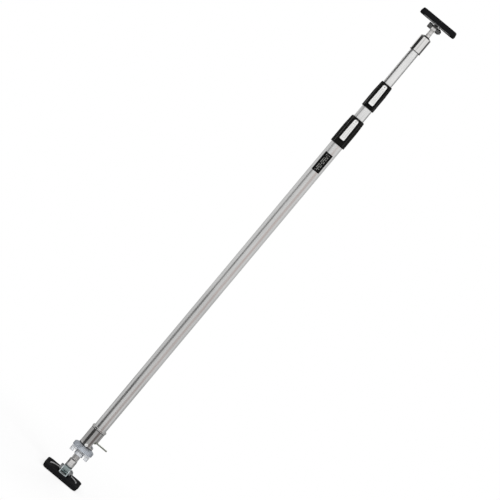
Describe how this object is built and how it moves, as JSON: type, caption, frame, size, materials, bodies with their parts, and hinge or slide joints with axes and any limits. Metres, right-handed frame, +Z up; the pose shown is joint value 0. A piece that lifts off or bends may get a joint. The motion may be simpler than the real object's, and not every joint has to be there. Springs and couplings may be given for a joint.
{
  "type": "telescopic ceiling support",
  "caption": "Telescopic ceiling prop of sliding aluminium tubes with lever clamps, a screw jack with a cast hand nut at the base, and tilting square rubber pads at foot and head.",
  "frame": {"origin": "centre of the sole of the foot pad, on the floor", "axes": "+Z up along the pole, -Y to the side that the clamp levers face, X along the pivot bolts"},
  "size_m": [0.1098, 0.1098, 1.508],
  "materials": {
    "pad_rubber": "matte moulded",
    "zinc_plate": "zinc plated",
    "bolt_steel": "zinc plated",
    "bright_zinc": "bright zinc plated",
    "spindle_steel": "bright rolled",
    "cast_metal": "sand cast",
    "chrome": "polished",
    "lock_steel": "drawn",
    "tube_aluminium": "drawn, anodised",
    "bush_plastic": "moulded",
    "clamp_plastic": "fine grained",
    "lever_metal": "satin silver",
    "label_film": "satin film"
  },
  "bodies": {
    "foot": {"foot_pad": "pad_rubber", "foot_bracket": "zinc_plate", "foot_screws": "bolt_steel", "foot_bolt": "bolt_steel", "foot_nut": "bolt_steel"},
    "spindle": {"spindle_end": "spindle_steel", "spindle_screw": "spindle_steel", "spindle_stop": "spindle_steel"},
    "pole": {"outer_tube": "tube_aluminium", "base_sleeve": "chrome", "sleeve_screws": "bright_zinc", "spindle_guide": "bush_plastic", "label_plate": "label_film", "lower_clamp_housing": "clamp_plastic", "lower_lever_pin": "bolt_steel", "lower_clamp_rivet": "bolt_steel"},
    "hand_nut": {"adjusting_nut": "cast_metal"},
    "lock": {"lock_ring": "lock_steel", "lock_bar": "lock_steel"},
    "lower_lever": {"lower_clamp_lever": "lever_metal"},
    "lower_shoe": {"lower_clamp_shoe": "bush_plastic"},
    "mid": {"mid_tube": "tube_aluminium", "mid_guide_bush": "bush_plastic", "upper_clamp_housing": "clamp_plastic", "upper_lever_pin": "bolt_steel", "upper_clamp_rivet": "bolt_steel"},
    "upper_lever": {"upper_clamp_lever": "lever_metal"},
    "upper_shoe": {"upper_clamp_shoe": "bush_plastic"},
    "inner": {"inner_tube": "tube_aluminium", "inner_guide_bush": "bush_plastic", "head_cap": "chrome", "head_stud": "spindle_steel", "head_stud_nut": "bolt_steel"},
    "head": {"head_pad": "pad_rubber", "head_bracket": "zinc_plate", "head_screws": "bolt_steel", "head_bolt": "bolt_steel", "head_nut": "bolt_steel", "head_spacers": "bolt_steel"}
  },
  "joints": [
    {"name": "foot_tilt", "type": "hinge", "parent": "foot", "child": "spindle", "pos_m": [0, 0, 0.021], "axis": [1, 0, 0], "range_deg": [-45, 45]},
    {"name": "spindle_slide", "type": "slide", "parent": "spindle", "child": "pole", "axis": [0, 0, 1], "range_m": [-0.0145, 0.095]},
    {"name": "nut_turn", "type": "hinge", "parent": "pole", "child": "hand_nut", "pos_m": [0, 0, 0.09], "axis": [0, 0, 1], "range_deg": [-1307, 8555]},
    {"name": "lock_swing", "type": "hinge", "parent": "pole", "child": "lock", "pos_m": [0, 0, 0.1245], "axis": [0, 0, 1], "range_deg": [-33, 33]},
    {"name": "lower_lever_swing", "type": "hinge", "parent": "pole", "child": "lower_lever", "pos_m": [0, -0.0251, 1.1761], "axis": [-1, 0, 0], "range_deg": [0, 90]},
    {"name": "lower_shoe_press", "type": "slide", "parent": "pole", "child": "lower_shoe", "axis": [0, -1, 0], "range_m": [0, 0.0005]},
    {"name": "mid_slide", "type": "slide", "parent": "pole", "child": "mid", "axis": [0, 0, 1], "range_m": [-0.03, 0.73]},
    {"name": "upper_lever_swing", "type": "hinge", "parent": "mid", "child": "upper_lever", "pos_m": [0, -0.0229, 1.2892], "axis": [-1, 0, 0], "range_deg": [0, 90]},
    {"name": "upper_shoe_press", "type": "slide", "parent": "mid", "child": "upper_shoe", "axis": [0, -1, 0], "range_m": [0, 0.0005]},
    {"name": "inner_slide", "type": "slide", "parent": "mid", "child": "inner", "axis": [0, 0, 1], "range_m": [-0.104, 0.72]},
    {"name": "head_tilt", "type": "hinge", "parent": "inner", "child": "head", "pos_m": [0, 0, 1.4832], "axis": [1, 0, 0], "range_deg": [-45, 45]}
  ],
  "couplings": [
    {"joint": "nut_turn", "follows": "spindle_slide", "rad_per_m": 1570.8},
    {"joint": "lower_shoe_press", "follows": "lower_lever_swing", "m_per_rad": 0.00031828},
    {"joint": "upper_shoe_press", "follows": "upper_lever_swing", "m_per_rad": 0.00031828}
  ]
}
